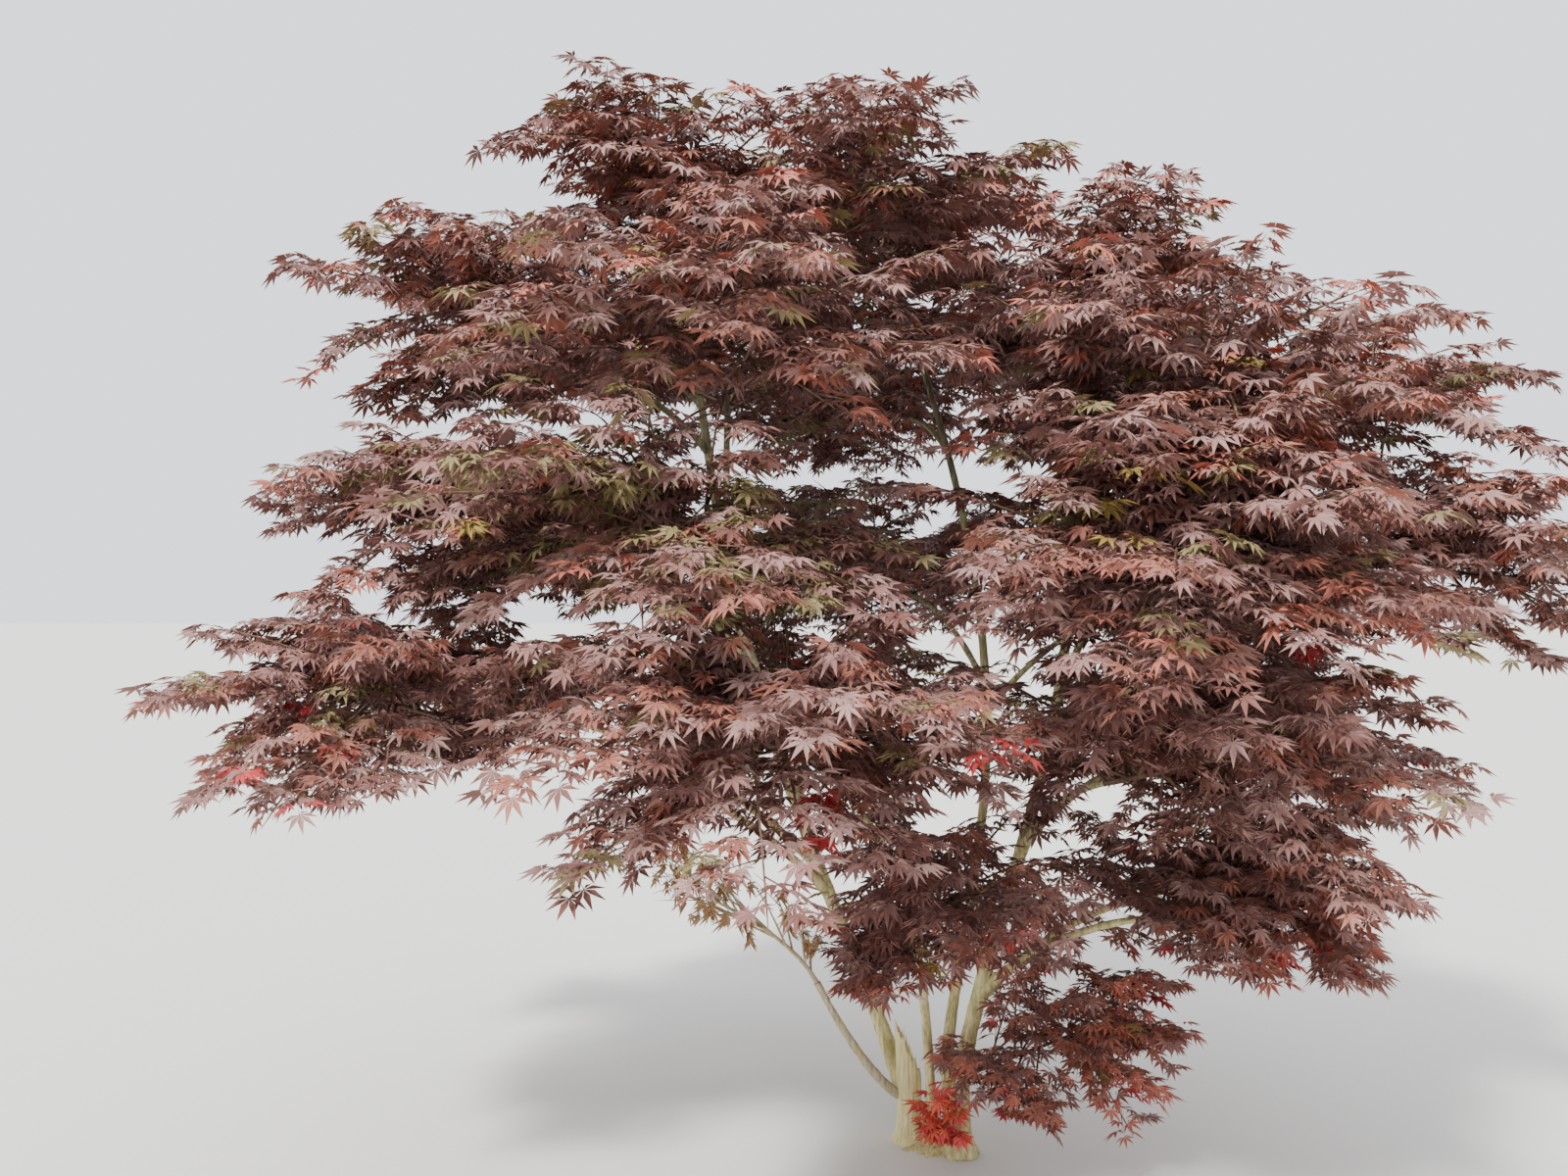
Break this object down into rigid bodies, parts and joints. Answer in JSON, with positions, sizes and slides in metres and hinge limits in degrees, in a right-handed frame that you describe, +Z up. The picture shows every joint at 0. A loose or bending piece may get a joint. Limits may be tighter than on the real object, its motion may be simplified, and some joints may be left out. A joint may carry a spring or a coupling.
{
  "type": "japanese maple tree",
  "caption": "Small multi-stemmed maple with purple-red palmate leaves in layered drooping tiers, a broken stem and a dead limb at the foot, cut flat at ground level.",
  "frame": {"origin": "on the flat cut at ground level, between the two butts of the root crown", "axes": "+Z up, +X to the right as seen from the front, -Y towards the viewer"},
  "size_m": [3.5529, 3.0842, 2.8309],
  "materials": {
    "bark": "thin olive-grey bark, finely ribbed",
    "broken_wood": "pale yellow-green bark with torn raw wood",
    "dead_wood": "grey-tan dead wood with darker bands",
    "dead_twigs": "dry grey-tan twigs with a few shrivelled leaves",
    "foliage_bronze": "bronze-purple leaves with red tips",
    "foliage_red_brown": "red-brown leaves",
    "foliage_purple": "dull purple leaves, near black in shade",
    "foliage_red": "bright orange-red young leaves"
  },
  "bodies": {
    "root": {"trunk": "bark", "stem_right": "bark", "stem_left": "bark", "stem_back": "bark", "stem_front": "bark", "broken_stem": "broken_wood", "dead_limb": "dead_wood", "bough_top_4": "bark", "bough_upper_1": "bark", "bough_upper_2": "bark", "bough_upper_3": "bark", "bough_upper_4": "bark", "bough_upper_5": "bark", "bough_upper_6": "bark", "bough_upper_7": "bark", "bough_middle_1": "bark", "bough_middle_2": "bark", "bough_middle_3": "bark", "bough_middle_4": "bark", "bough_middle_5": "bark", "bough_middle_6": "bark", "bough_middle_7": "bark", "bough_lower_1": "bark", "bough_lower_2": "bark", "bough_lower_3": "bark", "bough_lower_4": "bark", "bough_lower_6": "bark", "bough_skirt_1": "bark", "bough_skirt_2": "bark", "bough_skirt_3": "bark", "mass_top_1": "foliage_bronze", "mass_top_2": "foliage_bronze", "mass_top_3": "foliage_bronze", "mass_top_4": "foliage_bronze", "mass_upper_1": "foliage_red_brown", "mass_upper_2": "foliage_red_brown", "mass_upper_3": "foliage_red_brown", "mass_upper_4": "foliage_red_brown", "mass_upper_5": "foliage_red_brown", "mass_upper_6": "foliage_red_brown", "mass_upper_7": "foliage_red_brown", "mass_middle_1": "foliage_purple", "mass_middle_2": "foliage_purple", "mass_middle_3": "foliage_purple", "mass_middle_4": "foliage_purple", "mass_middle_5": "foliage_purple", "mass_middle_6": "foliage_purple", "mass_middle_7": "foliage_purple", "mass_lower_1": "foliage_purple", "mass_lower_2": "foliage_purple", "mass_lower_3": "foliage_purple", "mass_lower_4": "foliage_purple", "mass_lower_5": "foliage_purple", "mass_lower_6": "foliage_purple", "mass_skirt_1": "foliage_purple", "mass_skirt_2": "foliage_purple", "mass_skirt_3": "foliage_purple", "mass_skirt_foot": "foliage_purple", "mass_base_sprouts": "foliage_red", "dead_spray": "dead_twigs"}
  },
  "joints": []
}
